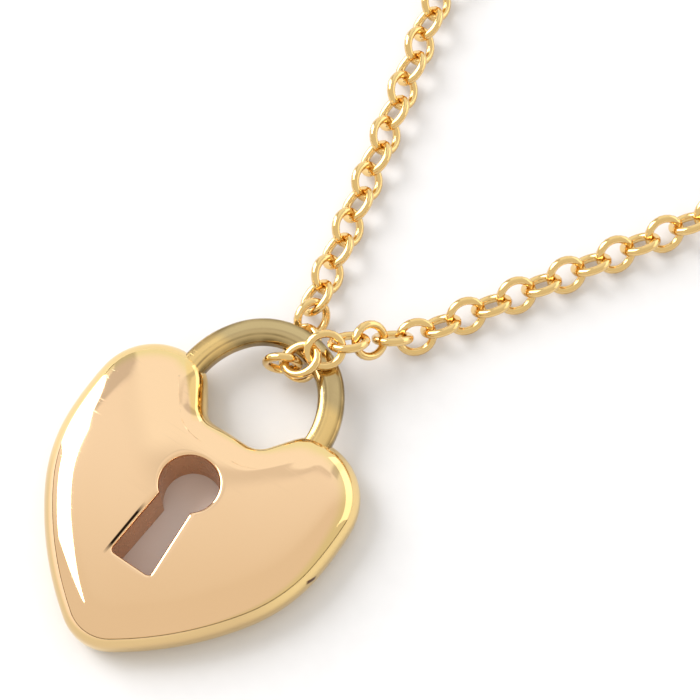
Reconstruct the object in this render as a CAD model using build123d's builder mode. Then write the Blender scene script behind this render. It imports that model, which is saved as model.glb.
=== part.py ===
from build123d import *
from math import atan2, ceil, cos, degrees, radians, sin
import os

os.makedirs("parts", exist_ok=True)

# Heart-shaped body of the lock, lying on its back. The keyhole's axis is the Z axis, and the shackle points along +Y.
body_width = 17.5
body_thickness = 3.4
crown_rise = 0.3
front_roll = 1.6
back_roll = 1.1
tip_drop = 10.35

# The heart's right half, from the tip round to the top of the lobe, as arcs that run smoothly into each other: each
# one's radius as a share of the body's width, and how far it turns the outline, in degrees.
outline_arcs = [
    (0.165, 33.7),
    (1.11, 23.2),
    (0.561, 28.5),
    (1.21, 8.4),
    (0.21, 86.2),
]

# The dip between the two lobes has a flat floor and sloping sides. Its mouth is rounder than the front roll by a
# little, so that the roll runs on round it.
dip_floor_height = 4.05
dip_floor_width = 3.5
dip_mouth_width = 7.42
dip_floor_round = 0.7
dip_mouth_extra = 0.25

# Keyhole: a round hole over a slot that widens downwards, cut through from front to back.
keyhole_radius = 1.69
keyhole_length = 5.57
slot_neck_width = 1.9
slot_foot_width = 2.66
slot_corner_round = 0.22

# Shackle: a flat-faced bar bent to an arch, whose straight feet go down into a blind socket in each lobe. It stands
# over the top of the lobes, and its arch starts a little below it.
shackle_width = 10.16
shackle_rise = 4.9
shackle_spring_drop = 0.8
bar_width = 1.55
bar_thickness = 1.1
bar_edge_round = 0.36
bar_centre_height = 1.9
foot_depth = 2.6
socket_clearance = 0.05

# Chain: closed round links of round wire. They lie leaned over to the left and to the right by turns.
link_width = 2.44
wire_width = 0.35
link_clearance = 0.11
link_lean = 45

# Clasp: one plain closed ring with a small eye on its side, tilted where it rests on the ring that it holds. What a
# ring faces is the way that its upper face looks, in degrees from +X.
clasp_width = 6.0
clasp_wire = 1.1
clasp_tilt = 9
clasp_faces = 180
clasp_eye_width = 2.1
clasp_eye_wire = 0.5
clasp_eye_overlap = 0.05
clasp_eye_play = 0.15
clasp_eye_faces = 90

# The larger ring on the other end of the chain, which the clasp holds.
end_ring_width = 3.7
end_ring_wire = 0.5
end_ring_lean = 54
end_ring_faces = -90
end_ring_reach = 0.18
end_ring_play = 0.5

# Route of the chain, chosen point by point, with each y counted from the top of the shackle. Each strand runs from
# the pendant to the clasp, and between them the links that go under the shackle's bar, up through it and over it
# have a place and a lean of their own.
chain_route = {
    # x, y
    "left strand": [
        (-1.13, 2.36),
        (-1.47, 3.96),
        (-3.45, 12.1),
        (-6.1, 21.8),
        (-15, 54.3),
        (-24, 86.3),
        (-28.5, 113.3),
        (-22, 137.3),
        (-5.5, 153.3),
    ],
    # x, y, height, lean from flat, and which way the upper face looks, in degrees from +X
    "round the bar": [
        (-0.6, 1.11, 1.0, 45, -5),
        (-0.2, -0.39, 0.65, 25, -145),
        (0.35, -1.74, 0.9, 35, 65),
        (-0.15, -2.49, 2.05, 90, -60),
        (0.85, -1.99, 3.0, 25, -160),
        (1.7, -0.84, 3.3, 30, -40),
        (2.5, 0.41, 3.05, 45, 130),
        (3.25, 1.46, 2.25, 45, 0),
        (4.1, 2.56, 1.5, 55, 125),
        (5.05, 3.61, 0.92, 45, -38),
    ],
    # x, y
    "right strand": [
        (5.86, 5.0),
        (8.43, 9.1),
        (13.5, 17.4),
        (31, 46.3),
        (49.5, 78.3),
        (59, 107.3),
        (53.5, 134.3),
        (38.5, 151.8),
    ],
    # x, y
    "clasp": (16, 158.3),
}

leg_offset = (shackle_width - bar_width) / 2
link_radius = (link_width - wire_width) / 2
link_pitch = 2 * link_radius - wire_width - link_clearance
clasp_radius = (clasp_width - clasp_wire) / 2
eye_radius = (clasp_eye_width - clasp_eye_wire) / 2
end_ring_radius = (end_ring_width - end_ring_wire) / 2

# The clasp lies across the far end of the loop, with the eye towards -X. The strands end where their last links
# hang in the eye and in the end ring.
clasp_reach = clasp_radius * cos(radians(clasp_tilt))
eye_offset = clasp_reach + eye_radius - clasp_eye_overlap
end_ring_offset = clasp_reach + end_ring_reach
eye_link_offset = eye_offset + eye_radius + link_radius - (clasp_eye_wire + wire_width) / 2 - clasp_eye_play
end_link_offset = (
    end_ring_offset + end_ring_radius + link_radius - (end_ring_wire + wire_width) / 2 - end_ring_play
)

# Body: the heart's outline made thick, crowned in front and rolled over at both edges.
with BuildPart() as heart_body:
    with BuildSketch() as heart_outline:
        with BuildLine():
            arc_start = Vector(0, -tip_drop)
            heading = Vector(1, 0)
            for radius_share, turn in outline_arcs:
                arc = JernArc(arc_start, heading, radius_share * body_width, turn)
                arc_start = arc @ 1
                heading = arc % 1
            lobe_height = arc_start.Y
            FilletPolyline(
                arc_start,
                (dip_mouth_width / 2, lobe_height),
                (dip_floor_width / 2, dip_floor_height),
                (0, dip_floor_height),
                radius=[front_roll + dip_mouth_extra, dip_floor_round],
            )
            mirror(about=Plane.YZ)
        make_face()
    extrude(amount=body_thickness + crown_rise)
    body_length = tip_drop + lobe_height
    crown_radius = (body_length**2 / 4 + crown_rise**2) / (2 * crown_rise)
    with Locations((0, (lobe_height - tip_drop) / 2, body_thickness - crown_radius)):
        Sphere(crown_radius, rotation=(90, 0, 0), mode=Mode.INTERSECT)
    fillet(heart_body.faces().sort_by(Axis.Z)[-1].edges(), radius=front_roll)
    fillet(heart_body.faces().sort_by(Axis.Z)[0].edges(), radius=back_roll)

    # Keyhole, cut through from the back.
    with BuildSketch() as keyhole:
        with BuildLine():
            Polyline(
                (-slot_neck_width / 2, 0),
                (-slot_foot_width / 2, -keyhole_length),
                (slot_foot_width / 2, -keyhole_length),
                (slot_neck_width / 2, 0),
                close=True,
            )
        make_face()
        fillet(keyhole.vertices().group_by(Axis.Y)[0], radius=slot_corner_round)
        Circle(keyhole_radius)
    extrude(amount=body_thickness, mode=Mode.SUBTRACT)

    # Blind sockets for the shackle's feet, open at the top of each lobe.
    spring_height = lobe_height - shackle_spring_drop
    foot_height = spring_height - foot_depth
    socket_floor = Plane.XZ.offset(socket_clearance - foot_height)
    with BuildSketch(socket_floor):
        with Locations((-leg_offset, bar_centre_height), (leg_offset, bar_centre_height)):
            RectangleRounded(
                bar_width + 2 * socket_clearance,
                bar_thickness + 2 * socket_clearance,
                bar_edge_round + socket_clearance,
            )
    extrude(amount=-(foot_depth + lobe_height), mode=Mode.SUBTRACT)

# Shackle: the bar's section carried up one leg, over the arch and down the other.
with BuildPart() as shackle:
    with BuildLine(Plane.XY.offset(bar_centre_height)) as shackle_line:
        Line((leg_offset, foot_height), (leg_offset, spring_height))
        arch_rise = shackle_spring_drop + shackle_rise - bar_width / 2
        EllipticalCenterArc((0, spring_height), leg_offset, arch_rise, start_angle=0, arc_size=180)
        Line((-leg_offset, spring_height), (-leg_offset, foot_height))
    with BuildSketch(Plane.XZ.offset(-foot_height)):
        with Locations((leg_offset, bar_centre_height)):
            RectangleRounded(bar_width, bar_thickness, bar_edge_round)
    sweep(path=shackle_line.wire())


def leaned(x, y, height, lean, towards):
    """Place of a ring tipped up from lying flat until its upper face looks the given way."""
    return Location((x, y, height), (0, 0, towards)) * Location((0, 0, 0), (0, lean, 0))


def resting_height(ring_radius, ring_wire, lean):
    """Height of the centre of a leaned ring whose lowest point is on the surface."""
    return ring_radius * sin(radians(lean)) + ring_wire / 2


def strand(points):
    """Places of the links along a strand, in pairs: one leans to the left of the way ahead, the next to the right."""
    with BuildLine() as strand_line:
        Spline(*points)
    path = strand_line.edges()[0]
    count = 2 * ceil((path.length / link_pitch + 1) / 2)
    height = resting_height(link_radius, wire_width, link_lean)
    places = []
    for index in range(count):
        distance = path.length * index / (count - 1)
        middle = path.position_at(distance, PositionMode.LENGTH)
        ahead = path.tangent_at(distance, PositionMode.LENGTH)
        side = 1 if index % 2 == 0 else -1
        towards = degrees(atan2(side * ahead.X, -side * ahead.Y))
        places.append(leaned(middle.X, middle.Y, height, link_lean, towards))
    return places


# Chain: a whole loop from the clasp's eye down to the shackle, round its bar and back to the end ring.
shackle_top = lobe_height + shackle_rise
left_points, right_points = [
    [(x, shackle_top + y) for x, y in chain_route[name]] for name in ("left strand", "right strand")
]
clasp_x = chain_route["clasp"][0]
clasp_y = shackle_top + chain_route["clasp"][1]
left_places = strand(left_points + [(clasp_x - eye_link_offset, clasp_y)])
bar_places = [
    leaned(x, shackle_top + y, height, lean, towards)
    for x, y, height, lean, towards in chain_route["round the bar"]
]
right_places = strand(right_points + [(clasp_x + end_link_offset, clasp_y)])
with BuildPart() as chain:
    with Locations(*left_places, *bar_places, *right_places):
        Torus(link_radius, wire_width / 2)

# Clasp: the ring and its eye, soldered into one piece.
clasp_height = resting_height(clasp_radius, clasp_wire, clasp_tilt)
eye_height = resting_height(eye_radius, clasp_eye_wire, link_lean)
with BuildPart() as clasp:
    with Locations(leaned(clasp_x, clasp_y, clasp_height, clasp_tilt, clasp_faces)):
        Torus(clasp_radius, clasp_wire / 2)
    with Locations(leaned(clasp_x - eye_offset, clasp_y, eye_height, link_lean, clasp_eye_faces)):
        Torus(eye_radius, clasp_eye_wire / 2)

# End ring, through the clasp and the last link of the right-hand strand.
end_ring_height = resting_height(end_ring_radius, end_ring_wire, end_ring_lean)
with BuildPart() as end_ring:
    ring_x = clasp_x + end_ring_offset
    with Locations(leaned(ring_x, clasp_y, end_ring_height, end_ring_lean, end_ring_faces)):
        Torus(end_ring_radius, end_ring_wire / 2)

print("links", len(left_places), len(bar_places), len(right_places))
print("lobe height", lobe_height)
pieces = {
    "heart_body": heart_body,
    "shackle": shackle,
    "chain": chain,
    "clasp": clasp,
    "end_ring": end_ring,
}
for name, piece in pieces.items():
    piece.part.label = name
    export_step(piece.part, f"parts/{name}.step")
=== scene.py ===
"""A polished gold heart padlock pendant on its fine cable chain, lying on a pale table."""
import math

import bmesh
import bpy
import numpy as np
from mathutils import Matrix, Vector


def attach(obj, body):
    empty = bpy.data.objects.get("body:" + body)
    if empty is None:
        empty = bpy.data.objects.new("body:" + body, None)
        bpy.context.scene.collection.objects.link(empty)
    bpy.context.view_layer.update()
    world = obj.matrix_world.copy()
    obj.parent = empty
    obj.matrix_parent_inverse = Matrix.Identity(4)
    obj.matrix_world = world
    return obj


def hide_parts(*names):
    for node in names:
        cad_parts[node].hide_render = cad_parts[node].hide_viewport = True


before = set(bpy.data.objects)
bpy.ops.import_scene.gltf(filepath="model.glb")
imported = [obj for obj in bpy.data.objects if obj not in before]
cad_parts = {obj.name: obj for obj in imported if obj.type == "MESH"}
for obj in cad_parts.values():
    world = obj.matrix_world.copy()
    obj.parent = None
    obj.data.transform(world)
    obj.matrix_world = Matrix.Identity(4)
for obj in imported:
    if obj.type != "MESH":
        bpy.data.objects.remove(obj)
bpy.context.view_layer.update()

# The table and the light.
# A plain white table top, with two tall soft boxes on the upper left, a low one on the right and pale walls
# round about. They all show in the polished gold, so each is where the photograph's reflections put it.
mm = 0.001
scene = bpy.context.scene
image_right = 34.5
camera_place = (30.36, -28.32, 125.32)
camera_tilt = 21.7
camera_lens = 118.3
table_half_width = 1500
table_drop = 0.02
table_darker = (0.76, 0.755, 0.77, 1.0)
table_lighter = (0.80, 0.795, 0.81, 1.0)


def way(azimuth, elevation):
    """A direction, from degrees counted round from the right of the picture and degrees up from the table."""
    turn, rise = math.radians(azimuth + image_right), math.radians(elevation)
    return Vector((math.cos(turn) * math.cos(rise), math.sin(turn) * math.cos(rise), math.sin(rise)))


def set_inputs(node, **values):
    """Sets a node's own sockets by name, with underscores for spaces."""
    for name, value in values.items():
        node.inputs[name.replace("_", " ")].default_value = value
    return node


def empty_material(name):
    """A material with nothing in it, and its nodes and links."""
    material = bpy.data.materials.new(name)
    material.use_nodes = True
    nodes = material.node_tree.nodes
    nodes.clear()
    return material, nodes, material.node_tree.links


def mesh_object(name, bm, material):
    """Turns a bmesh, worked in millimetres, into an object with a material."""
    bmesh.ops.scale(bm, verts=bm.verts, vec=(mm, mm, mm))
    mesh = bpy.data.meshes.new(name)
    bm.to_mesh(mesh)
    bm.free()
    mesh.materials.append(material)
    made = bpy.data.objects.new(name, mesh)
    scene.collection.objects.link(made)
    return made


camera_data = bpy.data.cameras.new("camera")
camera_data.lens = camera_lens
camera_data.sensor_width = 36.0
camera_data.clip_start = 0.005
camera_data.clip_end = 5.0
camera = bpy.data.objects.new("camera", camera_data)
camera.location = Vector(camera_place) * mm
camera.rotation_euler = (math.radians(camera_tilt), 0.0, math.radians(image_right))
scene.collection.objects.link(camera)
scene.camera = camera
scene.view_settings.view_transform = "Standard"
scene.view_settings.look = "None"
scene.view_settings.exposure = 0.0
scene.view_settings.gamma = 1.0

table_paint, nodes, links = empty_material("table_top")
grain = set_inputs(nodes.new("ShaderNodeTexNoise"), Scale=900.0, Detail=3.0)
place = nodes.new("ShaderNodeTexCoord").outputs["Object"]
tone = nodes.new("ShaderNodeValToRGB")
tone.color_ramp.elements[0].color = table_darker
tone.color_ramp.elements[1].color = table_lighter
shader = set_inputs(nodes.new("ShaderNodeBsdfPrincipled"), Roughness=0.7, Specular_IOR_Level=0.2)
output = nodes.new("ShaderNodeOutputMaterial")
links.new(place, grain.inputs["Vector"])
links.new(grain.outputs["Fac"], tone.inputs["Fac"])
links.new(tone.outputs["Color"], shader.inputs["Base Color"])
links.new(shader.outputs["BSDF"], output.inputs["Surface"])
bm = bmesh.new()
bmesh.ops.create_grid(bm, x_segments=1, y_segments=1, size=table_half_width)
bmesh.ops.translate(bm, verts=bm.verts, vec=(0, 0, -table_drop))
mesh_object("table", bm, table_paint)


def maths(nodes, links, operation, first, second):
    """What a maths node makes of two values, each a socket or a number."""
    node = nodes.new("ShaderNodeMath")
    node.operation = operation
    for socket, value in zip(node.inputs, (first, second)):
        if isinstance(value, (int, float)):
            socket.default_value = value
        else:
            links.new(value, socket)
    return node.outputs["Value"]


def beyond(nodes, links, point, normal, low, high):
    """How far a point or a direction lies along a normal: 0 below the low limit, and 1 over the high one."""
    towards = nodes.new("ShaderNodeVectorMath")
    towards.operation = "DOT_PRODUCT"
    towards.inputs[1].default_value = normal
    links.new(point, towards.inputs[0])
    edge = set_inputs(nodes.new("ShaderNodeMapRange"), From_Min=low, From_Max=high)
    edge.interpolation_type = "SMOOTHSTEP"
    links.new(towards.outputs["Value"], edge.inputs["Value"])
    return edge.outputs["Result"]


def mixed(nodes, links, share, first, second):
    """A colour between two others, each a socket or a colour."""
    mix = nodes.new("ShaderNodeMix")
    mix.data_type = "RGBA"
    links.new(share, mix.inputs["Factor"])
    for name, value in (("A", first), ("B", second)):
        if isinstance(value, tuple):
            mix.inputs[name].default_value = (*value, 1.0)
        else:
            links.new(value, mix.inputs[name])
    return mix.outputs["Result"]


# The walls get brighter towards the top of the picture, and are dark close over the table. The lower right of
# them is a white panel with a grey line along its top, next to a grey patch.
wall_dim = (0.85, 0.82, 0.76)
wall_bright = (1.02, 1.04, 1.06)
wall_foot = (0.2, 0.16, 0.1)
panel_line = (0.84, 0.84, 0.84)
grey_patch = (0.72, 0.72, 0.74)
white_panel = (1.08, 1.12, 1.14)
panel_top = -0.25 * way(0, 0) + 0.85 * way(90, 0) - Vector((0, 0, 0.38))
patch_top = 0.84 * way(90, 0) - Vector((0, 0, 0.54))

world = bpy.data.worlds.new("studio")
scene.world = world
world.use_nodes = True
nodes, links = world.node_tree.nodes, world.node_tree.links
view = nodes.new("ShaderNodeTexCoord").outputs["Generated"]
up_the_picture = beyond(nodes, links, view, way(90, 0), 0.08, 0.46)
walls = mixed(nodes, links, up_the_picture, wall_dim, wall_bright)
close_to_table = maths(nodes, links, "SUBTRACT", 1.0, beyond(nodes, links, view, (0, 0, 1), 0.03, 0.07))
walls = mixed(nodes, links, close_to_table, walls, wall_foot)
in_patch = maths(
    nodes, links, "MULTIPLY",
    beyond(nodes, links, view, way(17, 0), -0.31, -0.27),
    beyond(nodes, links, view, way(140, 0), -0.16, -0.1),
)
in_panel = maths(
    nodes, links, "MULTIPLY",
    beyond(nodes, links, view, way(17, 0), -0.03, 0.03),
    beyond(nodes, links, view, way(140, 0), -0.03, 0.03),
)
# upper edge, where it starts and where it is full, side edges, colour
for upper_edge, low, high, sides, colour in (
    (panel_top, -0.08, -0.03, in_panel, panel_line),
    (patch_top, -0.02, 0.03, in_patch, grey_patch),
    (panel_top, -0.01, 0.04, in_panel, white_panel),
):
    under = beyond(nodes, links, view, upper_edge, low, high)
    walls = mixed(nodes, links, maths(nodes, links, "MULTIPLY", under, sides), walls, colour)
links.new(walls, nodes["Background"].inputs["Color"])
nodes["Background"].inputs["Strength"].default_value = 1.0

# name, azimuth, elevation, half width and half height in degrees, brightness
soft_boxes = [
    ("left_soft_box", 138, 28, 10.5, 31, 5.0),
    ("far_left_soft_box", 160, 41, 10.8, 19, 5.0),
    ("right_soft_box", 22, 14, 33, 14, 0.8),
]
box_distance = 450
for name, azimuth, elevation, half_width, half_height, brightness in soft_boxes:
    lamp = bpy.data.lights.new(name, "AREA")
    lamp.shape = "RECTANGLE"
    lamp.size = 2 * box_distance * math.tan(math.radians(half_width)) * mm
    lamp.size_y = 2 * box_distance * math.tan(math.radians(half_height)) * mm
    lamp.energy = brightness * math.pi * lamp.size * lamp.size_y
    soft_box = bpy.data.objects.new(name, lamp)
    soft_box.location = way(azimuth, elevation) * box_distance * mm
    soft_box.rotation_euler = way(azimuth, elevation).to_track_quat("Z", "Y").to_euler()
    soft_box.visible_camera = False
    scene.collection.objects.link(soft_box)

# The heart-shaped body of the lock.
# Cast in rose gold and polished all over, with a gently domed front that rolls over to the sides, a flat back
# and a keyhole sawn right through. The two feet of the shackle stand in its lobes.
heart_width = 17.5
heart_thickness = 3.4
heart_tip_drop = 10.35
heart_crown = 0.4
heart_front_roll = 1.6
heart_back_roll = 1.1
front_roll_steps = 16
back_roll_steps = 9
front_rings = 18
back_rings = 6
ring_rounds = 12
heart_sharp_turn = 34

# One half of the outline, from the tip to the top of the lobe, as arcs that run smoothly into each other.
# radius as a share of the heart's width, turn in degrees, steps
heart_arcs = [
    (0.165, 33.7, 12),
    (1.11, 23.2, 24),
    (0.561, 28.5, 16),
    (1.21, 8.4, 10),
    (0.21, 86.2, 26),
]

# The dip between the lobes has a flat floor and sloping sides. The face sinks a little towards it.
dip_floor_height = 4.05
dip_floor_width = 3.5
dip_mouth_width = 7.42
dip_mouth_round = 2.2
dip_floor_round = 1.3
dip_sink = 0.25
dip_sink_height = 5.2
dip_sink_reach = 2.2
dip_mouth_steps = 11
dip_slope_steps = 5
dip_corner_steps = 10
dip_floor_steps = 5

# The front rolls over more tightly at the dip's floor and on its right. Each span is where that starts and
# where it is full.
tight_roll = 0.5
tight_from_left = (-1.8, -0.2)
tight_from_right = (4.7, 2.9)
tight_from_below = (2.0, 3.0)

# The polishing wheel has softened the start of the roll, most of all round the dip.
wheel_rounds = 30
wheel_rounds_by_dip = 80
wheel_reach = 0.5
by_dip_depth = 0.35
by_dip_foot = 2.2
by_dip_half_width = 5

# A round hole over a slot that widens downwards. The shares are those of its points that lie on the round
# hole and on the slot's sides. Its walls are the faces round it that lean by less than the last value.
keyhole_radius = 1.69
keyhole_length = 5.57
slot_neck_width = 1.9
slot_foot_width = 2.66
slot_corner_round = 0.22
slot_corner_steps = 4
rim_round = 0.17
rim_round_steps = 5
hole_share = 0.46
side_share = 0.34
keyhole_wall_lean = 0.3

# Each pair is where a colour starts and where it is full, as a height or a distance below the keyhole.
front_height = (2.5, 2.8)
# The next two place the painted shade on the lower band round the tip.
tip_shade_height = (1.3, 1.8)
tip_shade_drop = (1.0, 5.0)
rose_colour = (0.93, 0.64, 0.38)
rose_deeper = (0.91, 0.61, 0.35)
# The side colour is a painted reflection, the next a painted shade round the tip, and the dip slope colour a
# painted reflection.
painted_side_reflection = (0.83, 0.61, 0.27)
painted_tip_shade = (0.69, 0.49, 0.235)
painted_dip_reflection = (0.86, 0.59, 0.23)
crack_colour = (0.02, 0.01, 0.005)
dark_spot_colour = (0.12, 0.05, 0.02)
# The sawn walls are painted darker, a painted shade inside the keyhole.
sawn_shaded_colour = (0.66, 0.38, 0.21)


def new_group(name, inputs, outputs):
    """A shader node group with its sockets, and its nodes, links, input node and output node."""
    group = bpy.data.node_groups.new(name, "ShaderNodeTree")
    for socket, kind in inputs:
        group.interface.new_socket(socket, in_out="INPUT", socket_type=kind)
    for socket, kind in outputs:
        group.interface.new_socket(socket, in_out="OUTPUT", socket_type=kind)
    start, end = group.nodes.new("NodeGroupInput"), group.nodes.new("NodeGroupOutput")
    return group, group.nodes, group.links, start, end


def fine_lines(nodes, links, place, turn, share):
    """Sparse hair lines that run one way over the surface, as a mask."""
    lay = set_inputs(
        nodes.new("ShaderNodeMapping"), Rotation=(0.4, 0.3, math.radians(turn)), Scale=(150, 9000, 3000),
    )
    streaks = set_inputs(nodes.new("ShaderNodeTexNoise"), Scale=1.0, Detail=2.0, Roughness=0.4)
    pick = set_inputs(nodes.new("ShaderNodeMapRange"), From_Min=share, From_Max=share + 0.07)
    links.new(place, lay.inputs["Vector"])
    links.new(lay.outputs["Vector"], streaks.inputs["Vector"])
    links.new(streaks.outputs["Fac"], pick.inputs["Value"])
    return pick.outputs["Result"]


# What polish and wear leave on any of the golds: clouds of duller metal, slow waves and hair scratches.
scratch_roughness = 0.12
scratch_depth = 0.06
wave_height = 0.35
polish, nodes, links, start, end = new_group(
    "polish_marks",
    [("Smooth", "NodeSocketFloat"), ("Dull", "NodeSocketFloat"), ("Scratches", "NodeSocketFloat")],
    [("Roughness", "NodeSocketFloat"), ("Height", "NodeSocketFloat")],
)
place = nodes.new("ShaderNodeTexCoord").outputs["Object"]
clouds = set_inputs(nodes.new("ShaderNodeTexNoise"), Scale=260.0, Detail=3.0, Roughness=0.6)
waves = set_inputs(nodes.new("ShaderNodeTexNoise"), Scale=120.0, Detail=1.0)
links.new(place, clouds.inputs["Vector"])
links.new(place, waves.inputs["Vector"])
lines_one_way = fine_lines(nodes, links, place, 25, 0.66)
lines_other_way = fine_lines(nodes, links, place, -50, 0.68)
hairs = maths(nodes, links, "MAXIMUM", lines_one_way, lines_other_way)
hairs = maths(nodes, links, "MULTIPLY", hairs, start.outputs["Scratches"])
blend = set_inputs(nodes.new("ShaderNodeMapRange"), From_Min=0.35, From_Max=0.7)
links.new(clouds.outputs["Fac"], blend.inputs["Value"])
links.new(start.outputs["Smooth"], blend.inputs["To Min"])
links.new(start.outputs["Dull"], blend.inputs["To Max"])
scratch_dullness = maths(nodes, links, "MULTIPLY", hairs, scratch_roughness)
links.new(maths(nodes, links, "ADD", blend.outputs["Result"], scratch_dullness), end.inputs["Roughness"])
swell = maths(nodes, links, "MULTIPLY", waves.outputs["Fac"], wave_height)
scratched = maths(nodes, links, "MULTIPLY", hairs, scratch_depth)
links.new(maths(nodes, links, "SUBTRACT", swell, scratched), end.inputs["Height"])

# The tint of any of the golds, which wanders between two colours.
tint, nodes, links, start, end = new_group(
    "gold_tint",
    [("Colour", "NodeSocketColor"), ("Deeper", "NodeSocketColor"), ("Scale", "NodeSocketFloat")],
    [("Colour", "NodeSocketColor")],
)
place = nodes.new("ShaderNodeTexCoord").outputs["Object"]
clouds = set_inputs(nodes.new("ShaderNodeTexNoise"), Detail=2.0, Roughness=0.5)
links.new(place, clouds.inputs["Vector"])
links.new(start.outputs["Scale"], clouds.inputs["Scale"])
tinted = mixed(nodes, links, clouds.outputs["Fac"], start.outputs["Colour"], start.outputs["Deeper"])
links.new(tinted, end.inputs["Colour"])


def gold(name, colour, deeper, smooth, dull, scratches):
    """Polished gold with its tint, its marks of polish and wear, and the shader that they feed."""
    material, nodes, links = empty_material(name)
    shade = nodes.new("ShaderNodeGroup")
    shade.node_tree = tint
    set_inputs(shade, Colour=(*colour, 1.0), Deeper=(*deeper, 1.0), Scale=180.0)
    marks = nodes.new("ShaderNodeGroup")
    marks.node_tree = polish
    set_inputs(marks, Smooth=smooth, Dull=dull, Scratches=scratches)
    bump = set_inputs(nodes.new("ShaderNodeBump"), Strength=1.0, Distance=0.03 * mm)
    shader = set_inputs(nodes.new("ShaderNodeBsdfPrincipled"), Metallic=1.0)
    output = nodes.new("ShaderNodeOutputMaterial")
    links.new(shade.outputs["Colour"], shader.inputs["Base Color"])
    links.new(marks.outputs["Roughness"], shader.inputs["Roughness"])
    links.new(marks.outputs["Height"], bump.inputs["Height"])
    links.new(bump.outputs["Normal"], shader.inputs["Normal"])
    links.new(shader.outputs["BSDF"], output.inputs["Surface"])
    return material


def lay_over(material, mask, colour, duller=0.0):
    """Lays another colour over a material's own where a mask says, and makes it duller there."""
    nodes, links = material.node_tree.nodes, material.node_tree.links
    inputs = nodes["Principled BSDF"].inputs
    under = inputs["Base Color"].links[0].from_socket
    links.new(mixed(nodes, links, mask, under, colour), inputs["Base Color"])
    if duller:
        added = maths(nodes, links, "MULTIPLY", mask, duller)
        rough = maths(nodes, links, "ADD", inputs["Roughness"].links[0].from_socket, added)
        links.new(rough, inputs["Roughness"])


def streak(nodes, links, place, middle, along, across, length, width):
    """A straight mark round a middle point, as a mask, with its sizes in millimetres.

    It is full up to 0.3 of each size from the middle, and gone at half of it.
    """
    mask = 1.0
    for direction, size in ((along, length), (across, width)):
        direction = Vector(direction).normalized()
        dot = nodes.new("ShaderNodeVectorMath")
        dot.operation = "DOT_PRODUCT"
        dot.inputs[1].default_value = direction
        links.new(place, dot.inputs[0])
        off = maths(nodes, links, "SUBTRACT", dot.outputs["Value"], direction.dot(Vector(middle)) * mm)
        edge = set_inputs(
            nodes.new("ShaderNodeMapRange"), From_Min=0.5 * size * mm, From_Max=0.3 * size * mm,
        )
        links.new(maths(nodes, links, "ABSOLUTE", off, 0.0), edge.inputs["Value"])
        mask = maths(nodes, links, "MULTIPLY", edge.outputs["Result"], mask)
    return mask


def ramp(value, start, end):
    """How far a value has come from a start to an end, from 0 to 1."""
    return min(1.0, max(0.0, (value - start) / (end - start)))


def draw_line(bm, start, heading, moves):
    """Draws a line on the flat from a point and returns its last point.

    Each move is a size, a turn in degrees and a number of steps: an arc of that radius, or with no turn a
    straight run of that length.
    """
    vert = bm.verts.new(start)
    for size, turn, steps in moves:
        ahead = Vector((math.cos(math.radians(heading)), math.sin(math.radians(heading)), 0))
        if turn:
            centre = vert.co + Vector((-ahead.y, ahead.x, 0)) * size * math.copysign(1, turn)
            turned = bmesh.ops.spin(
                bm, geom=[vert], cent=centre, axis=(0, 0, 1), dvec=(0, 0, 0), angle=math.radians(turn),
                steps=steps, use_merge=False, use_duplicate=False,
            )
            vert = [item for item in turned["geom_last"] if isinstance(item, bmesh.types.BMVert)][0]
            heading += turn
        else:
            for _ in range(steps):
                vert = bmesh.ops.extrude_vert_indiv(bm, verts=[vert])["verts"][0]
                bmesh.ops.translate(bm, verts=[vert], vec=ahead * size / steps)
    return vert


def close_by_mirror(bm, verts):
    """Joins a drawn half line to its mirror image, and returns the edges of the closed line."""
    edges = {edge for vert in verts for edge in vert.link_edges}
    known = set(bm.edges) - edges
    bmesh.ops.mirror(bm, geom=verts + list(edges), axis="X", merge_dist=1e-3)
    return [edge for edge in bm.edges if edge not in known]


def heart_outline(bm):
    """The heart's outline: one half from the tip round the lobe and into the dip, then its mirror image."""
    lobe_end = draw_line(bm, (0, -heart_tip_drop, 0), 0, [
        (share * heart_width, turn, steps) for share, turn, steps in heart_arcs
    ])
    slope = Vector(((dip_mouth_width - dip_floor_width) / 2, lobe_end.co.y - dip_floor_height, 0))
    turn = math.degrees(math.atan2(slope.y, slope.x))
    take = math.tan(math.radians(turn / 2))
    draw_line(bm, lobe_end.co, 180, [
        (lobe_end.co.x - dip_mouth_width / 2 - dip_mouth_round * take, 0, 1),
        (dip_mouth_round, turn, dip_mouth_steps),
        (slope.length - (dip_mouth_round + dip_floor_round) * take, 0, dip_slope_steps),
        (dip_floor_round, -turn, dip_corner_steps),
        (dip_floor_width / 2 - dip_floor_round * take, 0, dip_floor_steps),
    ])
    bmesh.ops.remove_doubles(bm, verts=bm.verts, dist=1e-5)
    return close_by_mirror(bm, bm.verts[:])


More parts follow.
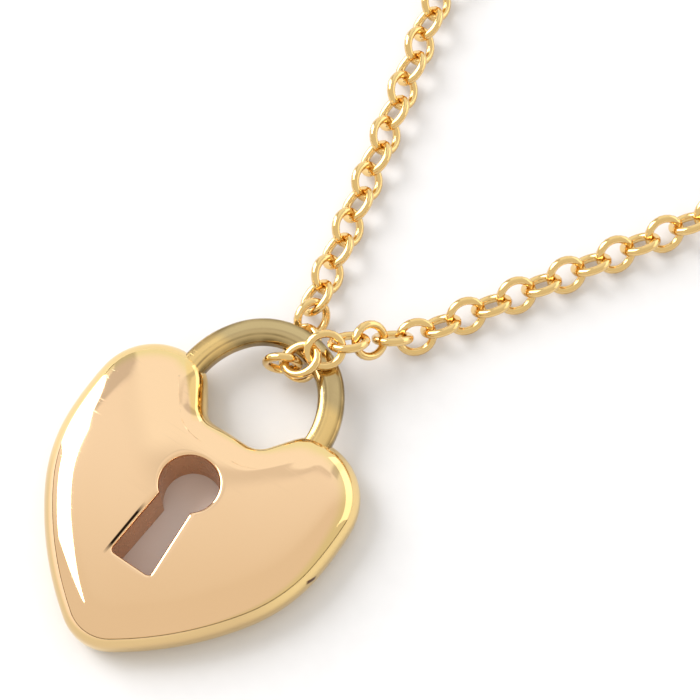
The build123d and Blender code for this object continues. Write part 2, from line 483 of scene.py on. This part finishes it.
def keyhole_outline(bm, count, height, grown):
    """The keyhole's edge, grown all round by a width.

    It has as many points as the heart's outline, so that the rings between them are even.
    """
    known = set(bm.verts)
    radius, foot, half_neck = keyhole_radius + grown, keyhole_length + grown, slot_neck_width / 2 + grown
    slope = (slot_foot_width - slot_neck_width) / 2 / keyhole_length
    # How far down the slot's side leaves the round hole, found in a few rounds.
    drop = radius
    for _ in range(12):
        drop = math.sqrt(radius**2 - (half_neck + slope * drop) ** 2)
    corner = Vector((half_neck + slope * drop, -drop, height))
    start_angle = math.degrees(math.atan2(corner.y, corner.x))
    lean = math.degrees(math.atan(slope))
    take = (slot_corner_round + grown) * math.tan(math.radians((90 + lean) / 2))
    side = (foot - drop) * math.hypot(1, slope) - take
    steps = count // 2
    hole_steps, side_steps = int(steps * hole_share), int(steps * side_share)
    draw_line(bm, (0, -foot, height), 0, [
        (half_neck + slope * foot - take, 0, steps - hole_steps - side_steps - slot_corner_steps),
        (slot_corner_round + grown, 90 + lean, slot_corner_steps),
        (side, 0, side_steps),
    ])
    draw_line(bm, corner, start_angle + 90, [(radius, 90 - start_angle, hole_steps)])
    new = [vert for vert in bm.verts if vert not in known]
    bmesh.ops.remove_doubles(bm, verts=new, dist=1e-3)
    return close_by_mirror(bm, [vert for vert in bm.verts if vert not in known])


def roll_over(bm, face, radius, steps, down=False):
    """Rolls the rim of a face over to the inside as a quarter round, and returns the edges of what is left.

    The round rises to the face, or goes down from it.
    """
    last_in, last_up = 0.0, 0.0
    for step in range(1, steps + 1):
        angle = math.radians(90) * step / steps
        inward, up = radius * (1 - math.cos(angle)), radius * math.sin(angle)
        if down:
            inward, up = up, -inward
        bmesh.ops.inset_region(
            bm, faces=[face], thickness=inward - last_in, depth=up - last_up, use_even_offset=True,
            use_boundary=True,
        )
        last_in, last_up = inward, up
    return face.edges[:]


def open_keyhole(bm, face, rim, cuts, grown):
    """Opens a face to the keyhole with even rings of quads, and returns the keyhole's edges.

    A bridge between two loops, one inside the other, needs them at different heights. So the keyhole is drawn
    lower, and raised afterwards.
    """
    lower = 10
    height = face.calc_center_median().z
    bmesh.ops.delete(bm, geom=[face], context="FACES_ONLY")
    keyhole = keyhole_outline(bm, len(rim), height - lower, grown)
    spokes = bmesh.ops.bridge_loops(bm, edges=rim + keyhole)["edges"]
    edge_verts = list({vert for edge in keyhole for vert in edge.verts})
    bmesh.ops.translate(bm, verts=edge_verts, vec=(0, 0, lower))
    bmesh.ops.subdivide_edges(bm, edges=spokes, cuts=cuts, use_grid_fill=True)
    return keyhole


def sharpen(bm, degrees):
    """Shades a bmesh smooth but for the edges that turn by more than an angle."""
    bm.normal_update()
    for face in bm.faces:
        face.smooth = True
    for edge in bm.edges:
        edge.smooth = edge.calc_face_angle(0) < math.radians(degrees)


# The outline becomes a low wall, whose front and back roll over and open to the keyhole.
bm = bmesh.new()
heart_outline(bm)
back = bmesh.ops.contextual_create(bm, geom=bm.edges[:])["faces"][0]
bmesh.ops.translate(bm, verts=bm.verts, vec=(0, 0, heart_back_roll))
flat_top = heart_thickness - heart_crown
wall_top = flat_top - heart_front_roll
raised = bmesh.ops.extrude_face_region(bm, geom=[back], use_keep_orig=True)["geom"]
front = [item for item in raised if isinstance(item, bmesh.types.BMFace)][0]
bmesh.ops.translate(bm, verts=front.verts[:], vec=(0, 0, wall_top - heart_back_roll))
for face, up in ((front, 1), (back, -1)):
    face.normal_update()
    if face.normal.z * up < 0:
        face.normal_flip()
front_rim = roll_over(bm, front, heart_front_roll, front_roll_steps)
back_rim = roll_over(bm, back, heart_back_roll, back_roll_steps)
top_keyhole = open_keyhole(bm, front, front_rim, front_rings, rim_round)
back_keyhole = open_keyhole(bm, back, back_rim, back_rings, 0)
rims = {vert for edge in front_rim + top_keyhole + back_rim + back_keyhole for vert in edge.verts}
rings = [vert for vert in bm.verts if vert not in rims and not 1e-5 < vert.co.z < flat_top - 1e-5]
for _ in range(ring_rounds):
    bmesh.ops.smooth_vert(bm, verts=rings, factor=0.5, use_axis_x=True, use_axis_y=True, use_axis_z=False)

# The keyhole's front edge is rounded.
known = set(bm.verts) - {vert for edge in top_keyhole for vert in edge.verts}
cap = bmesh.ops.contextual_create(bm, geom=top_keyhole)["faces"][0]
cap.normal_update()
if cap.normal.z < 0:
    cap.normal_flip()
front_keyhole = roll_over(bm, cap, rim_round, rim_round_steps, down=True)
bmesh.ops.delete(bm, geom=[cap], context="FACES_ONLY")
keyhole_rim = set(bm.verts) - known

# The roll is made tight where it is, and then softened.
for vert in bm.verts:
    rise = (vert.co.z - wall_top) / heart_front_roll
    if rise > 0:
        tight = ramp(vert.co.x, *tight_from_left) * ramp(vert.co.x, *tight_from_right)
        tight *= ramp(vert.co.y, *tight_from_below)
        vert.co.z = wall_top + heart_front_roll * rise ** (1 - tight_roll * tight)
polished = [vert for vert in bm.verts if vert.co.z > wall_top + wheel_reach and vert not in keyhole_rim]
by_dip = [
    vert for vert in polished
    if vert.co.z > flat_top - by_dip_depth and vert.co.y > by_dip_foot and abs(vert.co.x) < by_dip_half_width
]
for verts, rounds in ((polished, wheel_rounds), (by_dip, wheel_rounds_by_dip)):
    for _ in range(rounds):
        bmesh.ops.smooth_vert(
            bm, verts=verts, factor=0.5, use_axis_x=False, use_axis_y=False, use_axis_z=True,
        )
bmesh.ops.bridge_loops(bm, edges=front_keyhole + back_keyhole)

# The front is domed, as part of a large ball, and sinks towards the dip.
lobe_height = max(vert.co.y for vert in bm.verts)
heart_middle = (lobe_height - heart_tip_drop) / 2
half_length = (lobe_height + heart_tip_drop) / 2
crown_radius = (half_length**2 + heart_crown**2) / (2 * heart_crown)
for vert in bm.verts:
    share = max(0.0, (vert.co.z - wall_top) / heart_front_roll)
    away = vert.co.x**2 + (vert.co.y - heart_middle) ** 2
    from_dip = vert.co.x**2 + (vert.co.y - dip_sink_height) ** 2
    sunk = dip_sink * math.exp(-from_dip / dip_sink_reach**2)
    vert.co.z += share * (heart_crown - away / (2 * crown_radius) - sunk)
bmesh.ops.recalc_face_normals(bm, faces=bm.faces)
sharpen(bm, heart_sharp_turn)
# The keyhole's walls are marked for a duller finish and a darker colour, the colour a painted shade.
sawn = bm.faces.layers.float.new("dull")
keyhole_reach = keyhole_radius + rim_round
for face in bm.faces:
    middle = face.calc_center_median()
    upright = abs(face.normal.z) < keyhole_wall_lean
    by_keyhole = abs(middle.x) < keyhole_reach and -keyhole_length - keyhole_reach < middle.y < keyhole_reach
    if upright and by_keyhole:
        face[sawn] = 1.0

# The sides are painted a yellower gold, a painted reflection of the table, and browner round the tip, a
# painted shade. The left slope of the dip has a painted yellow reflection of the right soft box. A dark hair
# crack runs beside the slot, and there is a small dark spot on the right-hand side.
rose_gold = gold(
    "rose_gold", colour=rose_colour, deeper=rose_deeper, smooth=0.035, dull=0.075, scratches=0.25,
)
nodes, links = rose_gold.node_tree.nodes, rose_gold.node_tree.links
place = nodes.new("ShaderNodeTexCoord").outputs["Object"]
front_only = beyond(nodes, links, place, (0, -0.03, 1), front_height[0] * mm, front_height[1] * mm)
sides_only = maths(nodes, links, "SUBTRACT", 1.0, front_only)
# Painted shade on the band round the tip.
towards_tip = beyond(nodes, links, place, (0, -1, 0), tip_shade_drop[0] * mm, tip_shade_drop[1] * mm)
over_wall = beyond(nodes, links, place, (0, 0, 1), tip_shade_height[0] * mm, tip_shade_height[1] * mm)
tip_shade = maths(nodes, links, "MULTIPLY", towards_tip, over_wall)
tip_shade = maths(nodes, links, "MULTIPLY", tip_shade, sides_only)
crack = streak(
    nodes, links, place, middle=(-1.43, -4.1, 3.3), along=(-0.054, -1, 0), across=(1, -0.054, 0), length=3.7,
    width=0.2,
)
# A painted reflection of the right soft box on the left slope of the dip.
dip_reflection = streak(
    nodes, links, place, middle=(-3.25, 5.0, 2.6), along=(0.666, -0.746, 0), across=(0.746, 0.666, 0),
    length=4.4, width=0.95,
)
# A small dark spot on the right-hand side.
dark_spot = streak(
    nodes, links, place, middle=(8.53, -0.37, 1.74), along=(0.23, 0.86, -0.45), across=(0.22, -0.5, -0.83),
    length=0.9, width=0.34,
)
sawn_shaded_walls = nodes.new("ShaderNodeAttribute")
sawn_shaded_walls.attribute_name = "dull"
lay_over(rose_gold, crack, crack_colour)
# Painted reflection on the sides, painted shade round the tip and a painted reflection on the dip's left
# slope.
lay_over(rose_gold, sides_only, painted_side_reflection)
lay_over(rose_gold, tip_shade, painted_tip_shade)
lay_over(rose_gold, dip_reflection, painted_dip_reflection)
lay_over(rose_gold, dark_spot, dark_spot_colour)
# The sawn walls are duller, and painted darker as shade inside the keyhole.
lay_over(rose_gold, sawn_shaded_walls.outputs["Fac"], sawn_shaded_colour, duller=0.22)
heart = mesh_object("heart_shell", bm, rose_gold)
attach(heart, "root")
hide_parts("heart_body")

# The shackle.
# A bar of gold with a nearly flat face, bent to an arch, with painted shade along its edges, a dark line
# along its face, and painted lighter near its feet, which are pressed into sockets in the heart's lobes.
shackle_width = 10.16
spring_drop = 0.8
foot_depth = 2.6
bar_width = 1.55
bar_thickness = 1.1
bar_round = 0.34
bar_height = 1.9
face_turn = 11
shoulder_turn = 40
shoulder_radius = 5.466
arch_radius = 3.95
leg_steps = 3
shoulder_steps = 14
arch_steps = 40
face_steps = 5
corner_steps = 7
side_steps = 3
shackle_sharp_turn = 40

# Where the painted edge shade and the dark line lie, as shares of half the bar's width, and how far above the
# keyhole the feet's painted light ends and where it is full.
dark_line = (-0.45, -0.3)
dark_line_strength = 0.9
painted_edge_shade = (0.55, 0.8)
painted_light_foot_height = (8.9, 8.0)
shackle_colour = (0.6, 0.45, 0.22)
shackle_deeper = (0.5, 0.37, 0.175)
# The foot colour is painted light.
painted_foot_light = (0.8, 0.55, 0.22)
# The edge colour is painted shade, and also colours the dark line.
edge_shade_and_line_colour = (0.22, 0.15, 0.06)

# The bar's section, with a crowned face in front and behind, drawn flat and stood up at the right foot.
bm = bmesh.new()
half_face = bar_width / 2 - bar_round * (1 - math.sin(math.radians(face_turn)))
face_radius = half_face / math.sin(math.radians(face_turn))
face_rise = face_radius * (1 - math.cos(math.radians(face_turn)))
corner_rise = bar_round * math.cos(math.radians(face_turn)) + face_rise
draw_line(bm, (0, -bar_thickness / 2, 0), 0, [
    (face_radius, face_turn, face_steps),
    (bar_round, 90 - face_turn, corner_steps),
    (bar_thickness - 2 * corner_rise, 0, side_steps),
    (bar_round, 90 - face_turn, corner_steps),
    (face_radius, face_turn, face_steps),
])
bmesh.ops.remove_doubles(bm, verts=bm.verts, dist=1e-5)
close_by_mirror(bm, bm.verts[:])
# Painted shade along the bar's edges, and a dark line along its face.
edge_shade_and_line = bm.verts.layers.float.new("dull")
for vert in bm.verts:
    across = vert.co.x * 2 / bar_width
    on_dark_line = dark_line[0] < across < dark_line[1]
    vert[edge_shade_and_line] = dark_line_strength if on_dark_line else ramp(abs(across), *painted_edge_shade)
bmesh.ops.contextual_create(bm, geom=bm.edges[:])
leg_offset = (shackle_width - bar_width) / 2
spring_height = lobe_height - spring_drop
shackle_foot = spring_height - foot_depth
bmesh.ops.rotate(bm, verts=bm.verts, cent=(0, 0, 0), matrix=Matrix.Rotation(math.radians(90), 3, "X"))
bmesh.ops.translate(bm, verts=bm.verts, vec=(leg_offset, shackle_foot, bar_height))


def go_on(bm, edges, steps, ahead=None, centre=None, turn=0):
    """Carries a section on, straight ahead or round a centre, and returns the edges that it ends in."""
    if centre is None:
        for _ in range(steps):
            raised = bmesh.ops.extrude_edge_only(bm, edges=edges)["geom"]
            edges = [item for item in raised if isinstance(item, bmesh.types.BMEdge)]
            verts = list({vert for edge in edges for vert in edge.verts})
            bmesh.ops.translate(bm, verts=verts, vec=Vector(ahead) / steps)
        return edges
    turned = bmesh.ops.spin(
        bm, geom=edges, cent=centre, axis=(0, 0, 1), dvec=(0, 0, 0), angle=math.radians(turn), steps=steps,
        use_merge=False, use_duplicate=False,
    )
    return [item for item in turned["geom_last"] if isinstance(item, bmesh.types.BMEdge)]


# Up one leg, round a shoulder, over the arch, round the other shoulder and down the other leg.
shoulder_x = leg_offset - shoulder_radius
arch_y = spring_height + (shoulder_radius - arch_radius) * math.sin(math.radians(shoulder_turn))
edges = bm.edges[:]
edges = go_on(bm, edges, leg_steps, ahead=(0, foot_depth, 0))
edges = go_on(bm, edges, shoulder_steps, centre=(shoulder_x, spring_height, 0), turn=shoulder_turn)
edges = go_on(bm, edges, arch_steps, centre=(0, arch_y, 0), turn=180 - 2 * shoulder_turn)
edges = go_on(bm, edges, shoulder_steps, centre=(-shoulder_x, spring_height, 0), turn=shoulder_turn)
edges = go_on(bm, edges, leg_steps, ahead=(0, -foot_depth, 0))
bmesh.ops.contextual_create(bm, geom=edges)
bmesh.ops.recalc_face_normals(bm, faces=bm.faces)
sharpen(bm, shackle_sharp_turn)
shackle_gold = gold(
    "shackle_gold", colour=shackle_colour, deeper=shackle_deeper, smooth=0.06, dull=0.13, scratches=0.8,
)
nodes, links = shackle_gold.node_tree.nodes, shackle_gold.node_tree.links
edge_shade_and_line_attribute = nodes.new("ShaderNodeAttribute")
edge_shade_and_line_attribute.attribute_name = "dull"
patches = set_inputs(nodes.new("ShaderNodeTexNoise"), Scale=420.0, Detail=3.0)
uneven = set_inputs(nodes.new("ShaderNodeMapRange"), From_Min=0.35, From_Max=0.65, To_Min=0.25)
place = nodes.new("ShaderNodeTexCoord").outputs["Object"]
links.new(place, patches.inputs["Vector"])
links.new(patches.outputs["Fac"], uneven.inputs["Value"])
shaded_edges_and_line = maths(nodes, links, "MULTIPLY", edge_shade_and_line_attribute.outputs["Fac"], uneven.outputs["Result"])
painted_light_near_feet = beyond(
    nodes, links, place, (0, -1, 0), -painted_light_foot_height[0] * mm, -painted_light_foot_height[1] * mm,
)
# Painted light: the legs are painted lighter near the feet.
lay_over(shackle_gold, painted_light_near_feet, painted_foot_light)
# Painted shade along the edges and the dark line, both made duller too.
lay_over(shackle_gold, shaded_edges_and_line, edge_shade_and_line_colour, duller=0.12)
shackle = mesh_object("shackle_bar", bm, shackle_gold)
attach(shackle, "root")
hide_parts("shackle")

# The chain.
# Nearly round links of drawn yellow gold wire, each bent through the last, soldered shut and tumbled bright.
# They lie leaned over to the left and to the right by turns, where the modelled ones do, but of thicker wire.
link_half_length = 1.04
link_half_width = 0.95
link_wire = 0.53
modelled_wire = 0.35
link_steps = 12
wire_sides = 6
chain_colour = (0.84, 0.59, 0.26)
chain_deeper = (0.8, 0.55, 0.22)


def ring_places(node):
    """Centre and axis of each ring of a modelled chain, which keeps its rings one by one in its mesh."""
    mesh = node.data
    corners = np.empty(len(mesh.loops), dtype=np.int64)
    mesh.loops.foreach_get("vertex_index", corners)
    triangles = corners.reshape(-1, 3)
    points = np.empty(len(mesh.vertices) * 3)
    mesh.vertices.foreach_get("co", points)
    points = points.reshape(-1, 3)
    reached = np.maximum.accumulate(triangles.max(axis=1))
    starts = 1 + np.flatnonzero(triangles.min(axis=1)[1:] > reached[:-1])
    bounds = [0] + [int(reached[start - 1]) + 1 for start in starts] + [len(points)]
    places = []
    for first, last in zip(bounds[:-1], bounds[1:]):
        ring = points[first:last]
        axes = np.linalg.svd(ring - ring.mean(axis=0), full_matrices=False)[2]
        along = ring @ axes.T
        centre = (along.max(axis=0) + along.min(axis=0)) / 2 @ axes
        places.append((Vector(centre) / mm, Vector(axes[2])))
    return places


def ring_mesh(radius, wire, steps, sides):
    """A closed ring of round wire, lying flat about the middle."""
    ring = bmesh.new()
    bmesh.ops.create_circle(ring, cap_ends=False, segments=sides, radius=wire / 2)
    upright = Matrix.Rotation(math.radians(90), 3, "X")
    bmesh.ops.rotate(ring, verts=ring.verts, cent=(0, 0, 0), matrix=upright)
    bmesh.ops.translate(ring, verts=ring.verts, vec=(radius, 0, 0))
    bmesh.ops.spin(
        ring, geom=ring.verts[:] + ring.edges[:], cent=(0, 0, 0), axis=(0, 0, 1), dvec=(0, 0, 0),
        angle=math.radians(360), steps=steps, use_merge=True, use_duplicate=False,
    )
    bmesh.ops.remove_doubles(ring, verts=ring.verts, dist=1e-4)
    bmesh.ops.recalc_face_normals(ring, faces=ring.faces)
    for face in ring.faces:
        face.smooth = True
    made = bpy.data.meshes.new("ring")
    ring.to_mesh(made)
    ring.free()
    return made


# Rounding draws the rough link in, so it is made larger than the finished one by what each size loses.
ring_keeps = 0.966
wire_keeps = 0.87
link_mesh = ring_mesh(link_half_width / ring_keeps, link_wire / wire_keeps, link_steps, wire_sides)
stretch = (link_half_length - link_half_width) / ring_keeps
for vert in link_mesh.vertices:
    vert.co.x += stretch * vert.co.x / math.hypot(vert.co.x, vert.co.y)

# The rings of the left strand come first, from the shackle up to the clasp. They are turned round, so that
# all the rings make one run down to the shackle and up again.
rings = ring_places(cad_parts["chain"])
strand_end = max(range(1, len(rings)), key=lambda index: (rings[index][0] - rings[index - 1][0]).length)
rings = rings[strand_end - 1::-1] + rings[strand_end:]
bm = bmesh.new()
for index, (centre, axis) in enumerate(rings):
    known = len(bm.verts)
    bm.from_mesh(link_mesh)
    bm.verts.ensure_lookup_table()
    ahead = rings[min(index + 1, len(rings) - 1)][0] - rings[max(index - 1, 0)][0]
    ahead = (ahead - ahead.dot(axis) * axis).normalized()
    turn = Matrix((ahead, axis.cross(ahead), axis)).transposed().to_4x4()
    lifted = centre + Vector((0, 0, (link_wire - modelled_wire) / 2))
    bmesh.ops.transform(bm, verts=bm.verts[known:], matrix=Matrix.Translation(lifted) @ turn)
chain_gold = gold(
    "chain_gold", colour=chain_colour, deeper=chain_deeper, smooth=0.05, dull=0.1, scratches=0.3,
)
chain = mesh_object("chain_links", bm, chain_gold)
rounder = chain.modifiers.new("rounder", "SUBSURF")
rounder.levels = 1
rounder.render_levels = 1
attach(chain, "root")
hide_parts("chain")

# The clasp and the end ring, beyond the photograph's edge.
# One plain ring of yellow gold wire with a small eye soldered to its side, and the smaller ring at the other
# end of the chain that it hooks into. They are the modelled ones, polished like the chain.
for name in ("clasp", "end_ring"):
    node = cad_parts[name]
    node.data.materials.clear()
    node.data.materials.append(chain_gold)
